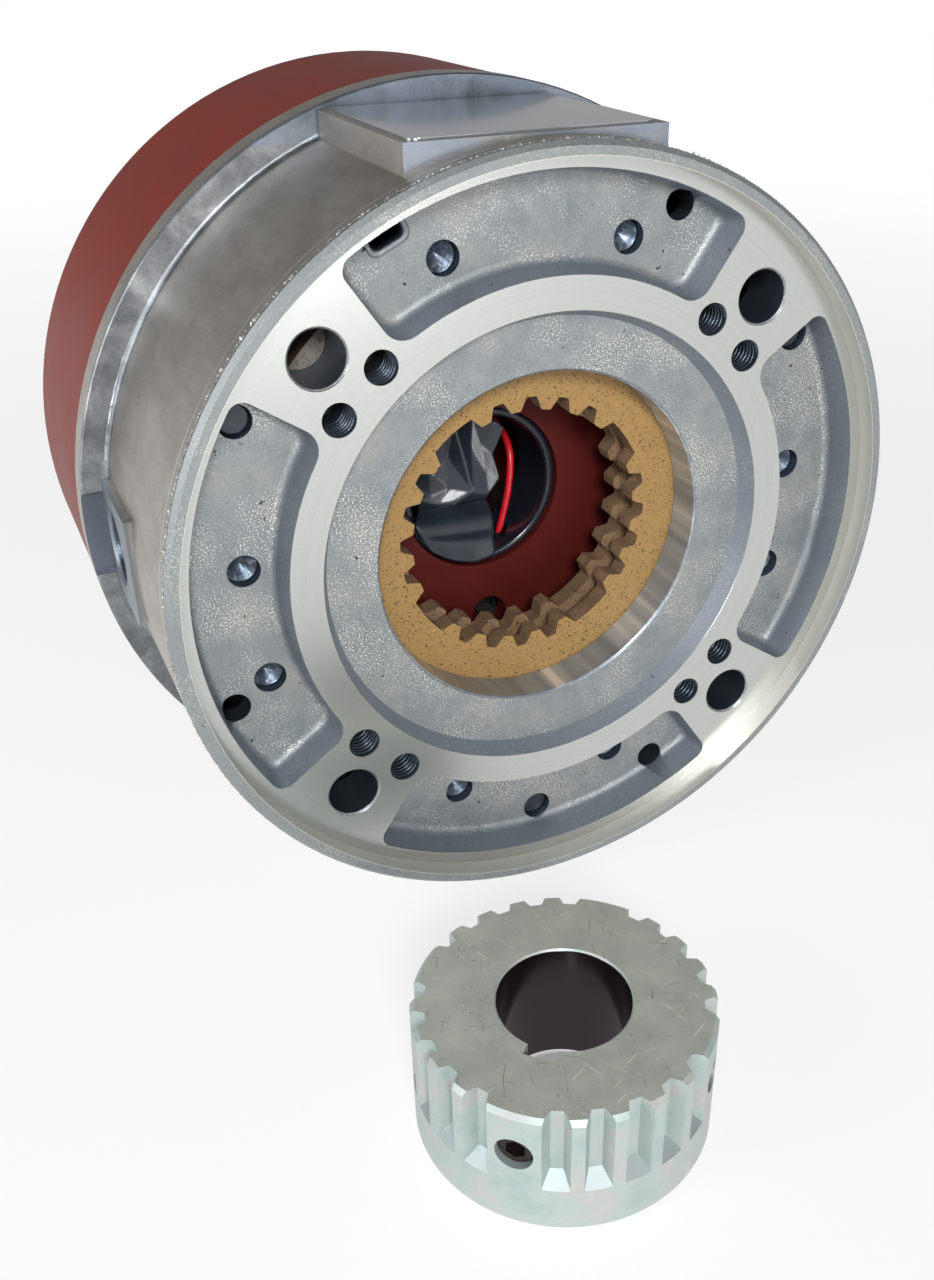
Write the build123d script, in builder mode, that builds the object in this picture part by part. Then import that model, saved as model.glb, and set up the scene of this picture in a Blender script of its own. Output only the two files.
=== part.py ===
from build123d import *
import os
from math import cos, hypot, radians, sin, tan

# Spring-set disc brake that bolts to the face of a motor, with its splined shaft hub standing on
# its end in front of it. Units are millimetres.
# Y runs into the brake along the shaft line, Z is up, X is to the right seen from the motor.
# The origin is the centre of the register, on the machined mounting land.

# Motor face fit
register_r = 107.95
register_depth = 6.35
bolt_circle_r = 92.075
bolt_hole_r = 7.55
bolt_hole_count = 4
bolt_phase = 45.0
bolt_hole_chamfer = 0.6

# Mounting housing: a cast aluminium ring with a thick front web, sized outward from the register
lip_width = 3.75
lip_chamfer = 1.3
flange_width = 10.0
flange_wall = 8.6
flange_fillet = 1.5
flange_edge = 0.4
housing_length = 81.0
web_back = 17.7
cavity_inset = 0.75
cavity_corner = 2.0
rear_bore_step = 3.8
rear_bore_lead = 1.0
spigot_length = 3.0

# Front web: land, recess, bore, the four cast pockets and their holes
land_width = 9.2
recess_draft = 2.5
recess_depth = 5.5
bore_r = 51.0
bore_chamfer = 0.7
pocket_outer_inset = 3.55
pocket_width = 26.4
pocket_half_angle = 34.3
pocket_depth = 10.5
pocket_draft = 7.0
pocket_inner_corner = 6.5
pocket_outer_corner = 4.0
pocket_floor_fillet = 2.5
pocket_count = 4
tap_hole_r = 4.65
tap_hole_offset = 6.2
cast_hole_r = 4.65
cast_hole_inset = 9.5
cast_hole_angles = (72.0, 108.0, 5.0, -17.7, 175.0, 197.5, -108.3, -72.0)
drilled_hole_r = 4.4
drilled_hole_inset = 4.4
drilled_hole_angles = (64.7, -160.4, -64.7)
slot_angle = 115.0
slot_length = 10.0
slot_width = 6.0

# Nameplate pad on top and conduit boss on the left
pad_left = -39.0
pad_right = 34.0
pad_front = 4.0
pad_rise = 0.7
plate_margin = 2.2
plate_thickness = 0.5
plate_corner = 3.0
boss_half_height = 16.5
boss_rise = 1.3
boss_front = 35.5
boss_corner = 4.0
notch_half_height = 14.0
notch_depth = 1.5
notch_corner = 5.0
conduit_hole_r = 10.6
conduit_hole_inset = 13.5
conduit_chamfer = 1.0

# Disc stack, front to back
running_gap = 0.3
friction_disc_thickness = 6.35
friction_disc_inset = 2.0
stationary_thickness = 4.75
pressure_thickness = 9.5
air_gap = 1.0
plate_inset = 6.5
stationary_bore_r = 44.0
pressure_bore_r = 48.0
ear_r = 8.5
ear_gap = 0.7
ear_fillet = 4.0

# Spline shared by the friction discs and the hub, where every sixth tooth is left out
spline_pitch_count = 24
spline_skip_every = 6
disc_tip_r = 36.3
tooth_depth = 3.9
disc_tip_half_angle = 2.35
disc_root_half_angle = 5.2
disc_root_fillet = 0.7
disc_tip_fillet = 0.5
disc_phase = 35.0
spline_tip_gap = 0.4
spline_rim_gap = 0.6
spline_side_gap = 0.25

# Guide studs, nuts and washers
stud_count = 3
stud_phase = 30.0
stud_shoulder_r = 5.5
stud_thread_r = 4.5
stud_thread_length = 4.7
stud_past_nut = 3.0
stud_end_chamfer = 0.6
thread_clearance = 0.15
hole_clearance = 0.3
nut_across_flats = 14.3
nut_height = 7.0
nut_chamfer = 0.8
washer_r = 8.5
washer_thickness = 1.6

# Magnet body and coil
magnet_gap = 0.8
magnet_length = 30.0
inner_pole_width = 10.0
coil_width = 14.0
coil_depth = 22.0
coil_clearance = 0.3
coil_recess = 1.2
coil_edge_round = 1.0
magnet_web_drop = 3.6
magnet_web_thickness = 6.0
magnet_hole_r = 26.7
web_hole_r = 6.0
web_hole_inset = 7.0
web_hole_angle = -88.0
web_corner_fillet = 2.0
magnet_edge_chamfer = 1.0

# Compression springs behind the pressure plate
spring_count = 3
spring_phase = 90.0
spring_inset = 8.0
spring_mean_r = 3.6
spring_wire = 1.4
spring_pocket_r = 5.2
spring_pocket_depth = 15.0
spring_pocket_wall = 2.3
spring_turns = 5.0

# Centre sleeve, the two coil leads, their grommet and the insulating film
sleeve_wall = 2.9
sleeve_gap = 0.2
sleeve_setback = 1.4
sleeve_length = 21.0
sleeve_edge_round = 1.2
sleeve_slot_angle = -67.0
lead_r = 1.15
lead_y = 64.0
lead_spacing = 4.0
lead_bend_inset = 8.0
lead_angle = -80.0
lead_hole_r = 4.6
grommet_gap = 0.1
grommet_flange_r = 6.2
grommet_flange = 1.4
film_front = 62.0
film_length = 36.0
film_gap = 0.3
film_side_x = 3.0
film_edge_round = 3.0

# Rear can
can_step = 0.4
can_wall = 2.0
can_gap = 0.1
can_end = 163.5
can_edge_r = 12.0
post_count = 4
post_phase = 45.0
post_r = 5.5
cover_screw_r = 2.5
cover_screw_gap = 0.1
cover_screw_head_r = 5.2
cover_screw_head = 3.6
cover_screw_reach = 14.0

# Shaft hub, standing on its end in front of the brake
hub_x = -39.4
hub_y = -85.6
hub_length = 38.1
hub_bore_r = 17.46
hub_bore_chamfer = 0.6
hub_rim_chamfer = 1.2
hub_phase = -134.6
keyway_width = 7.94
keyway_depth = 3.6
groove_stop = 13.4
groove_runout_angle = 45.0
set_screw_height = 25.1
set_screw_r = 4.76
set_screw_length = 15.0
set_screw_setback = 1.5
set_screw_socket = 4.76
set_screw_socket_depth = 5.0
set_screw_chamfer = 0.6
set_screw_angles = (0.0, 90.0)

# How far a cutter or a root runs past the face that it has to clear
overrun = 1.0

# Radii worked out from the register
barrel_r = register_r + lip_width
cavity_r = register_r - cavity_inset
rear_bore_r = cavity_r + rear_bore_step
flange_r = rear_bore_r + flange_wall
boss_x = barrel_r + boss_rise
can_r = flange_r - can_step
spigot_r = can_r - can_wall - can_gap
pocket_outer_r = register_r - pocket_outer_inset
pocket_inner_r = pocket_outer_r - pocket_width
land_inner_r = pocket_inner_r - land_width
recess_floor_r = land_inner_r - recess_draft
cast_hole_circle_r = pocket_inner_r + cast_hole_inset
drilled_hole_circle_r = pocket_outer_r - drilled_hole_inset
pad_top = barrel_r + pad_rise
stud_circle_r = cavity_r - ear_gap - ear_r
plate_r = stud_circle_r - plate_inset
friction_disc_r = plate_r - friction_disc_inset
magnet_r = cavity_r - magnet_gap
spring_circle_r = plate_r - spring_inset
coil_outer_r = spring_circle_r - spring_pocket_r - spring_pocket_wall
coil_inner_r = coil_outer_r - coil_width
inner_pole_r = coil_inner_r - inner_pole_width
post_circle_r = (coil_inner_r + coil_outer_r) / 2
sleeve_r = magnet_hole_r - sleeve_gap
sleeve_inner_r = sleeve_r - sleeve_wall
disc_root_r = disc_tip_r + tooth_depth
hub_r = disc_root_r - spline_rim_gap
spline_pitch = 360.0 / spline_pitch_count

# Places along the shaft, from the web backwards
front_disc_y = web_back + running_gap
stationary_y = front_disc_y + friction_disc_thickness + running_gap
rear_disc_y = stationary_y + stationary_thickness + running_gap
pressure_y = rear_disc_y + friction_disc_thickness + running_gap
pressure_back = pressure_y + pressure_thickness
magnet_y = pressure_back + air_gap
magnet_back = magnet_y + magnet_length
channel_end = magnet_y + coil_depth
web_front = magnet_y + magnet_web_drop
nut_back = magnet_back + washer_thickness + nut_height
flange_start = housing_length - flange_width
rear_bore_start = flange_start - rear_bore_lead
conduit_hole_y = flange_start - conduit_hole_inset
spigot_end = housing_length + spigot_length
can_back = can_end - can_wall
hub_z = -flange_r


def across(y):
    """Plane square to the shaft at depth y, with its x along X, its y along Z, facing the motor."""
    return Plane.XZ.offset(-y)


def polar(r, angle):
    return (r * cos(radians(angle)), r * sin(radians(angle)))


def even(count, phase):
    return [phase + 360.0 / count * i for i in range(count)]


def radial(r, angle, y):
    """Plane facing outward at this radius and angle, with its x along Y."""
    x, z = polar(r, angle)
    return Plane(origin=(x, y, z), x_dir=(0, 1, 0), z_dir=(x, 0, z))


os.makedirs("parts", exist_ok=True)

# Core of one cast pocket: an arc-shaped block with drafted sides and a rounded floor
with BuildPart() as pocket_core:
    with BuildSketch(across(0)):
        left = 90 + pocket_half_angle
        right = 90 - pocket_half_angle
        with BuildLine():
            CenterArc((0, 0), pocket_inner_r, right, 2 * pocket_half_angle)
            Line(polar(pocket_inner_r, left), polar(pocket_outer_r, left))
            CenterArc((0, 0), pocket_outer_r, right, 2 * pocket_half_angle)
            Line(polar(pocket_outer_r, right), polar(pocket_inner_r, right))
        make_face()
        fillet(vertices().sort_by(Axis.Y)[:2], pocket_inner_corner)
        fillet(vertices().sort_by(lambda v: hypot(v.X, v.Y))[-2:], pocket_outer_corner)
    extrude(amount=-pocket_depth, taper=pocket_draft)
    fillet(faces().sort_by(Axis.Y)[-1].edges(), pocket_floor_fillet)

with BuildPart() as mounting_housing:
    # Outer form: lip, barrel, rear flange with a fillet at its root, and the spigot for the can
    with BuildSketch(Plane.XY):
        with BuildLine():
            Polyline((0, spigot_end), (0, -register_depth), (barrel_r - lip_chamfer, -register_depth),
                     (barrel_r, lip_chamfer - register_depth), (barrel_r, flange_start - flange_fillet))
            TangentArc((barrel_r, flange_start - flange_fillet), (barrel_r + flange_fillet, flange_start),
                       tangent=(0, 1))
            Polyline((barrel_r + flange_fillet, flange_start), (flange_r - flange_edge, flange_start),
                     (flange_r, flange_start + flange_edge), (flange_r, housing_length),
                     (spigot_r, housing_length), (spigot_r, spigot_end), (0, spigot_end))
        make_face()
    revolve(axis=Axis.Y)
    # Pad for the nameplate, level from its front edge back to the flange
    with BuildSketch(Plane.XY):
        with Locations(((pad_left + pad_right) / 2, (pad_front + flange_start) / 2)):
            Rectangle(pad_right - pad_left, flange_start - pad_front)
    extrude(amount=pad_top)
    with BuildSketch(Plane.XY.offset(pad_top)):
        with Locations(((pad_left + pad_right) / 2, (pad_front + flange_start) / 2)):
            Rectangle(pad_right - pad_left, flange_start - pad_front)
    extrude(amount=flange_wall, mode=Mode.SUBTRACT)
    # Conduit boss on the left, a low flat with rounded front corners that runs back to the flange
    with BuildSketch(Plane.YZ.offset(-boss_x)):
        with Locations(((boss_front + flange_start) / 2, 0)):
            Rectangle(flange_start - boss_front, 2 * boss_half_height)
        fillet(vertices().group_by(Axis.Y)[0], boss_corner)
    extrude(amount=boss_x - cavity_r)
    # Notch milled into the front of the flange, level with the boss flat
    with BuildSketch(Plane.YZ.offset(-boss_x)):
        with Locations((flange_start + notch_depth - notch_half_height, 0)):
            Rectangle(2 * notch_half_height, 2 * notch_half_height)
        fillet(vertices().group_by(Axis.Y)[-1], notch_corner)
    extrude(amount=boss_x - flange_r, mode=Mode.SUBTRACT)
    # Cavity for the discs, wider at the rear
    with BuildSketch(Plane.XY):
        with BuildLine():
            Polyline((0, web_back), (cavity_r, web_back), (cavity_r, rear_bore_start),
                     (rear_bore_r, rear_bore_start), (rear_bore_r, spigot_end), (0, spigot_end),
                     close=True)
        make_face()
        fillet(vertices().sort_by_distance((cavity_r, web_back))[0], cavity_corner)
    revolve(axis=Axis.Y, mode=Mode.SUBTRACT)
    # Mouth: register bore, drafted recess and the turned bore that shows the discs
    with BuildSketch(Plane.XY):
        with BuildLine():
            Polyline((0, -register_depth), (register_r, -register_depth), (register_r, 0),
                     (land_inner_r, 0), (recess_floor_r, recess_depth),
                     (bore_r + bore_chamfer, recess_depth), (bore_r, recess_depth + bore_chamfer),
                     (bore_r, web_back), (0, web_back), close=True)
        make_face()
    revolve(axis=Axis.Y, mode=Mode.SUBTRACT)
    # Four cast pockets
    with Locations(*[Location((0, 0, 0), (0, angle, 0)) for angle in even(pocket_count, 0)]):
        add(pocket_core.part, mode=Mode.SUBTRACT)
    # Mounting bolt holes, and the pairs of tapped holes beside them
    with BuildSketch(across(0)):
        with PolarLocations(bolt_circle_r, bolt_hole_count, bolt_phase):
            Circle(bolt_hole_r)
        with PolarLocations(pocket_inner_r, bolt_hole_count, bolt_phase - tap_hole_offset):
            Circle(tap_hole_r)
        with PolarLocations(pocket_inner_r, bolt_hole_count, bolt_phase + tap_hole_offset):
            Circle(tap_hole_r)
    extrude(amount=-web_back, mode=Mode.SUBTRACT)
    bolt_rims = edges().filter_by(lambda e: e.geom_type == GeomType.CIRCLE
                                  and abs(e.radius - bolt_hole_r) < bolt_hole_chamfer / 4)
    chamfer(bolt_rims.group_by(Axis.Y)[0], bolt_hole_chamfer)
    # Holes through the pocket floors: cast ones, drilled ones, guide stud holes and one slot
    with BuildSketch(across(0)):
        with Locations(*[polar(cast_hole_circle_r, angle) for angle in cast_hole_angles]):
            Circle(cast_hole_r)
        with Locations(*[polar(drilled_hole_circle_r, angle) for angle in drilled_hole_angles]):
            Circle(drilled_hole_r)
        with PolarLocations(stud_circle_r, stud_count, stud_phase):
            Circle(stud_thread_r + thread_clearance)
        with Locations(Location((*polar(drilled_hole_circle_r, slot_angle), 0), (0, 0, slot_angle - 90))):
            Rectangle(slot_length, slot_width)
    extrude(amount=-web_back, mode=Mode.SUBTRACT)
    # Conduit entry, square to the boss flat
    with BuildSketch(Plane.YZ.offset(-boss_x)):
        with Locations((conduit_hole_y, 0)):
            Circle(conduit_hole_r)
    extrude(amount=boss_x - cavity_r + overrun, mode=Mode.SUBTRACT)
    conduit_rim = edges().filter_by(lambda e: e.geom_type == GeomType.CIRCLE
                                    and abs(e.radius - conduit_hole_r) < conduit_chamfer / 4)
    chamfer(conduit_rim, conduit_chamfer)
mounting_housing.part.label = "mounting_housing"
export_step(mounting_housing.part, "parts/mounting_housing.step")


def friction_disc(front):
    """Moulded friction disc with internal teeth on the spline pitch."""
    with BuildPart() as disc:
        with BuildSketch(across(front)):
            Circle(friction_disc_r)
            with Locations(Location((0, 0, 0), (0, 0, disc_phase + spline_pitch))):
                Circle(disc_root_r, mode=Mode.SUBTRACT)
            for i in range(spline_pitch_count):
                if i % spline_skip_every == 0:
                    continue
                middle = disc_phase + i * spline_pitch
                with BuildLine():
                    Polyline(polar(disc_root_r + overrun, middle - disc_root_half_angle),
                             polar(disc_root_r, middle - disc_root_half_angle),
                             polar(disc_tip_r, middle - disc_tip_half_angle),
                             polar(disc_tip_r, middle + disc_tip_half_angle),
                             polar(disc_root_r, middle + disc_root_half_angle),
                             polar(disc_root_r + overrun, middle + disc_root_half_angle),
                             close=True)
                make_face()
            for r, radius in ((disc_root_r, disc_root_fillet), (disc_tip_r, disc_tip_fillet)):
                corners = vertices().filter_by(lambda v: abs(hypot(v.X, v.Y) - r) < tooth_depth / 8)
                fillet(corners, radius)
        extrude(amount=-friction_disc_thickness)
    return disc


front_friction_disc = friction_disc(front_disc_y)
front_friction_disc.part.label = "front_friction_disc"
export_step(front_friction_disc.part, "parts/front_friction_disc.step")

rear_friction_disc = friction_disc(rear_disc_y)
rear_friction_disc.part.label = "rear_friction_disc"
export_step(rear_friction_disc.part, "parts/rear_friction_disc.step")


def eared_plate(front, thickness, inner_r):
    """Flat steel ring with one ear on each guide stud, free to slide along them."""
    with BuildPart() as plate:
        with BuildSketch(across(front)):
            with Locations(Location((0, 0, 0), (0, 0, stud_phase))):
                Circle(plate_r)
            with PolarLocations(stud_circle_r, stud_count, stud_phase):
                Circle(ear_r)
            necks = vertices().filter_by(lambda v: hypot(v.X, v.Y) < (plate_r + stud_circle_r) / 2)
            fillet(necks, ear_fillet)
            Circle(inner_r, mode=Mode.SUBTRACT)
            with PolarLocations(stud_circle_r, stud_count, stud_phase):
                Circle(stud_shoulder_r + hole_clearance, mode=Mode.SUBTRACT)
        extrude(amount=-thickness)
    return plate


stationary_disc = eared_plate(stationary_y, stationary_thickness, stationary_bore_r)
stationary_disc.part.label = "stationary_disc"
export_step(stationary_disc.part, "parts/stationary_disc.step")

pressure_plate = eared_plate(pressure_y, pressure_thickness, pressure_bore_r)
pressure_plate.part.label = "pressure_plate"
export_step(pressure_plate.part, "parts/pressure_plate.step")

with BuildPart() as magnet_body:
    # Cast ring with two poles, the coil channel between them and a web across the middle
    web_rear = web_front + magnet_web_thickness
    with BuildSketch(Plane.XY):
        with BuildLine():
            Polyline((magnet_hole_r, web_front), (inner_pole_r, web_front), (inner_pole_r, magnet_y),
                     (coil_inner_r, magnet_y), (coil_inner_r, channel_end), (coil_outer_r, channel_end),
                     (coil_outer_r, magnet_y), (magnet_r, magnet_y), (magnet_r, magnet_back),
                     (inner_pole_r, magnet_back), (inner_pole_r, web_rear), (magnet_hole_r, web_rear),
                     close=True)
        make_face()
        fillet(vertices().sort_by_distance((inner_pole_r, web_front))[0], web_corner_fillet)
        chamfer(vertices().sort_by_distance((magnet_r, magnet_back))[0], magnet_edge_chamfer)
    revolve(axis=Axis.Y)
    with BuildSketch(across(magnet_y)):
        with PolarLocations(stud_circle_r, stud_count, stud_phase):
            Circle(stud_thread_r + thread_clearance)
    extrude(amount=-magnet_length, mode=Mode.SUBTRACT)
    with BuildSketch(across(magnet_y)):
        with PolarLocations(spring_circle_r, spring_count, spring_phase):
            Circle(spring_pocket_r)
    extrude(amount=-spring_pocket_depth, mode=Mode.SUBTRACT)
    # One round hole low in the web, and the way out for the coil leads through the inner pole
    with BuildSketch(across(web_front)):
        with Locations(polar(inner_pole_r - web_hole_inset, web_hole_angle)):
            Circle(web_hole_r)
    extrude(amount=-magnet_web_thickness, mode=Mode.SUBTRACT)
    with BuildSketch(radial(inner_pole_r - overrun, lead_angle, lead_y)):
        Circle(lead_hole_r)
    extrude(amount=coil_inner_r - inner_pole_r + 2 * overrun, mode=Mode.SUBTRACT)
magnet_body.part.label = "magnet_body"
export_step(magnet_body.part, "parts/magnet_body.step")

with BuildPart() as magnet_coil:
    # Encapsulated winding, let into the channel a little below the poles
    with BuildSketch(Plane.XY):
        with BuildLine():
            Polyline((coil_inner_r + coil_clearance, magnet_y + coil_recess),
                     (coil_outer_r - coil_clearance, magnet_y + coil_recess),
                     (coil_outer_r - coil_clearance, channel_end),
                     (coil_inner_r + coil_clearance, channel_end), close=True)
        make_face()
        fillet(vertices().group_by(Axis.Y)[0], coil_edge_round)
    revolve(axis=Axis.Y)
magnet_coil.part.label = "magnet_coil"
export_step(magnet_coil.part, "parts/magnet_coil.step")

# One open coil of square wire for each spring, from the pocket floor to the pressure plate
with BuildPart() as pressure_springs:
    spring_length = air_gap + spring_pocket_depth
    for angle in even(spring_count, spring_phase):
        x, z = polar(spring_circle_r, angle)
        with BuildLine():
            coil = Helix((spring_length - spring_wire) / spring_turns, spring_length - spring_wire,
                         spring_mean_r, center=(x, pressure_back + spring_wire / 2, z),
                         direction=(0, 1, 0))
        with BuildSketch(Plane(origin=coil @ 0, z_dir=coil % 0, x_dir=(0, 1, 0))):
            Rectangle(spring_wire, spring_wire)
        sweep(path=coil, is_frenet=True)
pressure_springs.part.label = "pressure_springs"
export_step(pressure_springs.part, "parts/pressure_springs.step")

# Places of the guide studs, as moves off the shaft line
stud_places = [Location((x, 0, z)) for x, z in [polar(stud_circle_r, a) for a in even(stud_count, stud_phase)]]

with BuildPart() as torque_studs:
    # Stepped studs: thread in the front web, shoulder under the discs, tail through the magnet
    with BuildSketch(Plane.XY):
        with BuildLine():
            stud_front = web_back - stud_thread_length
            Polyline((0, stud_front), (stud_thread_r - stud_end_chamfer, stud_front),
                     (stud_thread_r, stud_front + stud_end_chamfer), (stud_thread_r, web_back),
                     (stud_shoulder_r, web_back), (stud_shoulder_r, magnet_y),
                     (stud_thread_r, magnet_y), (stud_thread_r, nut_back + stud_past_nut - stud_end_chamfer),
                     (stud_thread_r - stud_end_chamfer, nut_back + stud_past_nut),
                     (0, nut_back + stud_past_nut), close=True)
        make_face()
    stud = revolve(axis=Axis.Y, mode=Mode.PRIVATE)
    with Locations(*stud_places):
        add(stud)
torque_studs.part.label = "torque_studs"
export_step(torque_studs.part, "parts/torque_studs.step")

with BuildPart() as stud_washers:
    with BuildSketch(across(magnet_back)):
        with PolarLocations(stud_circle_r, stud_count, stud_phase):
            Circle(washer_r)
            Circle(stud_thread_r + thread_clearance, mode=Mode.SUBTRACT)
    extrude(amount=-washer_thickness)
stud_washers.part.label = "stud_washers"
export_step(stud_washers.part, "parts/stud_washers.step")

# One hexagon nut on the shaft line, with its corners turned off at both ends
with BuildPart() as nut_blank:
    nut_front = magnet_back + washer_thickness
    nut_corner_r = nut_across_flats / 3 ** 0.5
    with BuildSketch(across(nut_front)):
        RegularPolygon(nut_across_flats / 2, 6, major_radius=False)
    extrude(amount=-nut_height)
    with BuildSketch(Plane.XY):
        with BuildLine():
            Polyline((stud_thread_r, nut_front), (nut_corner_r - nut_chamfer, nut_front),
                     (nut_corner_r, nut_front + nut_chamfer / 2), (nut_corner_r, nut_back - nut_chamfer / 2),
                     (nut_corner_r - nut_chamfer, nut_back), (stud_thread_r, nut_back), close=True)
        make_face()
    revolve(axis=Axis.Y, mode=Mode.INTERSECT)

with BuildPart() as stud_nuts:
    with Locations(*stud_places):
        add(nut_blank.part)
stud_nuts.part.label = "stud_nuts"
export_step(stud_nuts.part, "parts/stud_nuts.step")

with BuildPart() as centre_sleeve:
    # Moulded ring in the magnet's centre hole, with a rounded front edge and a gap for the leads
    sleeve_front = web_front + sleeve_setback
    with BuildSketch(Plane.XY):
        with BuildLine():
            Polyline((sleeve_inner_r, sleeve_front), (sleeve_r, sleeve_front),
                     (sleeve_r, sleeve_front + sleeve_length),
                     (sleeve_inner_r, sleeve_front + sleeve_length), close=True)
        make_face()
        fillet(vertices().group_by(Axis.Y)[0], sleeve_edge_round)
    revolve(axis=Axis.Y)
    with BuildSketch(radial(sleeve_inner_r - overrun, sleeve_slot_angle, lead_y)):
        SlotCenterToCenter(lead_spacing, 2 * (lead_hole_r - grommet_gap))
    extrude(amount=sleeve_wall + 2 * overrun, mode=Mode.SUBTRACT)
centre_sleeve.part.label = "centre_sleeve"
export_step(centre_sleeve.part, "parts/centre_sleeve.step")

with BuildPart() as lead_grommet:
    # Plug in the inner pole with a flange on the curved wall and one slot for both leads
    flange_seat = (inner_pole_r ** 2 - grommet_flange_r ** 2) ** 0.5
    with BuildSketch(radial(flange_seat, lead_angle, lead_y)):
        Circle(lead_hole_r - grommet_gap)
    extrude(amount=coil_inner_r - flange_seat)
    with BuildSketch(radial(flange_seat - grommet_flange, lead_angle, lead_y)):
        Circle(grommet_flange_r)
    extrude(amount=grommet_flange)
    with BuildSketch(radial(flange_seat - grommet_flange, lead_angle, lead_y)):
        SlotCenterToCenter(lead_spacing, 2 * (lead_r + grommet_gap))
    extrude(amount=coil_inner_r - flange_seat + grommet_flange, mode=Mode.SUBTRACT)
lead_grommet.part.label = "lead_grommet"
export_step(lead_grommet.part, "parts/lead_grommet.step")

# Routes of the two coil leads: in through the pole, through the sleeve and back beside the film
lead_routes = (
    [(*polar(coil_inner_r, lead_angle), -lead_spacing / 2),
     (*polar(inner_pole_r - lead_bend_inset, lead_angle), -lead_spacing / 2), (9.6, -25.5, -2.0), (15.0, -7.5, -1.5),
     (17.3, 6.8, 1.5), (16.4, 13.0, 16.0), (12.0, 16.5, 28.0)],
    [(*polar(coil_inner_r, lead_angle), lead_spacing / 2),
     (*polar(inner_pole_r - lead_bend_inset, lead_angle), lead_spacing / 2), (7.0, -25.0, 2.0), (7.6, -8.5, 3.5),
     (8.4, 2.5, 11.0), (7.6, 6.5, 24.0)],
)
with BuildPart() as lead_wires:
    for route in lead_routes:
        points = [Vector(x, lead_y + y, z) for x, z, y in route]
        runs = [b - a for a, b in zip(points, points[1:])]
        radii = []
        for before, after in zip(runs, runs[1:]):
            half_turn = radians(before.get_angle(after)) / 2
            radii.append(0.45 * min(before.length, after.length) / tan(half_turn))
        print("lead arc radii", [round(r, 1) for r in radii])
        with BuildLine():
            path = FilletPolyline(*points, radius=radii)
        with BuildSketch(Plane(origin=path @ 0, z_dir=path % 0)):
            Circle(lead_r)
        sweep(path=path)
lead_wires.part.label = "lead_wires"
export_step(lead_wires.part, "parts/lead_wires.step")

with BuildPart() as lead_sleeve:
    # Wad of insulating film that fills the side of the sleeve away from the leads
    with BuildSketch(across(film_front)):
        Circle(sleeve_inner_r - film_gap)
        with Locations((film_side_x + sleeve_r, 0)):
            Rectangle(2 * sleeve_r, 2 * sleeve_r, mode=Mode.SUBTRACT)
        fillet(vertices(), film_edge_round)
    extrude(amount=-film_length)
    fillet(faces().sort_by(Axis.Y)[0].edges(), film_edge_round - film_gap)
lead_sleeve.part.label = "lead_sleeve"
export_step(lead_sleeve.part, "parts/lead_sleeve.step")

with BuildPart() as can_cover:
    # Drawn can over the spigot, closed at the rear
    with BuildSketch(Plane.XY):
        with BuildLine():
            Polyline((0, can_end), (can_r - can_edge_r, can_end))
            TangentArc((can_r - can_edge_r, can_end), (can_r, can_end - can_edge_r), tangent=(1, 0))
            Polyline((can_r, can_end - can_edge_r), (can_r, housing_length),
                     (can_r - can_wall, housing_length), (can_r - can_wall, can_end - can_edge_r))
            TangentArc((can_r - can_wall, can_end - can_edge_r),
                       (can_r - can_edge_r, can_back), tangent=(0, 1))
            Polyline((can_r - can_edge_r, can_back), (0, can_back), (0, can_end))
        make_face()
    revolve(axis=Axis.Y)
    with BuildSketch(across(can_back)):
        with PolarLocations(post_circle_r, post_count, post_phase):
            Circle(cover_screw_r + cover_screw_gap)
    extrude(amount=-can_wall, mode=Mode.SUBTRACT)
can_cover.part.label = "can_cover"
export_step(can_cover.part, "parts/can_cover.step")

with BuildPart() as cover_posts:
    # Posts from the magnet's back that carry the can
    with BuildSketch(across(magnet_back)):
        with PolarLocations(post_circle_r, post_count, post_phase):
            Circle(post_r)
    extrude(amount=magnet_back - can_back)
    with BuildSketch(across(can_back)):
        with PolarLocations(post_circle_r, post_count, post_phase):
            Circle(cover_screw_r + cover_screw_gap)
    extrude(amount=cover_screw_reach, mode=Mode.SUBTRACT)
cover_posts.part.label = "cover_posts"
export_step(cover_posts.part, "parts/cover_posts.step")

with BuildPart() as cover_screws:
    with BuildSketch(across(can_end)):
        with PolarLocations(post_circle_r, post_count, post_phase):
            Circle(cover_screw_head_r)
    extrude(amount=-cover_screw_head)
    fillet(edges().group_by(Axis.Y)[-1], cover_screw_head / 3)
    with BuildSketch(across(can_end)):
        with PolarLocations(post_circle_r, post_count, post_phase):
            Circle(cover_screw_r)
    extrude(amount=cover_screw_reach)
cover_screws.part.label = "cover_screws"
export_step(cover_screws.part, "parts/cover_screws.step")

with BuildPart() as nameplate:
    # Bare plate on the pad
    with BuildSketch(Plane.XY.offset(pad_top)):
        with Locations(((pad_left + pad_right) / 2, (pad_front + flange_start) / 2)):
            RectangleRounded(pad_right - pad_left - 2 * plate_margin,
                             flange_start - pad_front - 2 * plate_margin, plate_corner)
    extrude(amount=plate_thickness)
nameplate.part.label = "nameplate"
export_step(nameplate.part, "parts/nameplate.step")

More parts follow.
